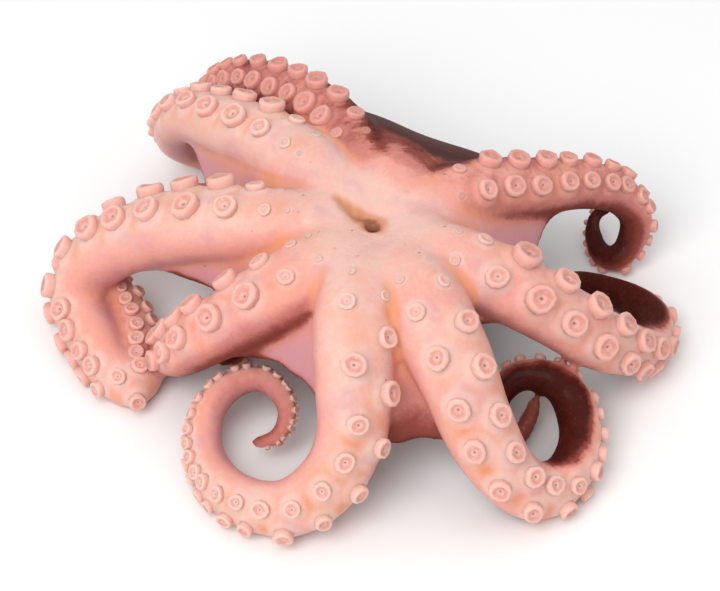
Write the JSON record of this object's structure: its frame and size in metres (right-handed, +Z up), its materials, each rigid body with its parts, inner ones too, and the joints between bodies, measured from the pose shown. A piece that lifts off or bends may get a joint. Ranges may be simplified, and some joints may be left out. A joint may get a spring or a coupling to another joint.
{
  "type": "whole octopus",
  "caption": "Small whole octopus lying mouth up on its mantle, arms spread and curled at their ends, suckers in double rows, skin webs between the arms.",
  "frame": {"origin": "middle of the small flat under the mantle on which the octopus rests", "axes": "+Z up through the mouth side, -Y towards the two big front curls, +X to the right as seen from the front"},
  "size_m": [0.1338, 0.1265, 0.0435],
  "materials": {
    "octopus_skin": "wet smooth skin, pale pink on the sucker side, dark maroon on the back"
  },
  "bodies": {
    "root": {"octopus": "octopus_skin"}
  },
  "joints": []
}
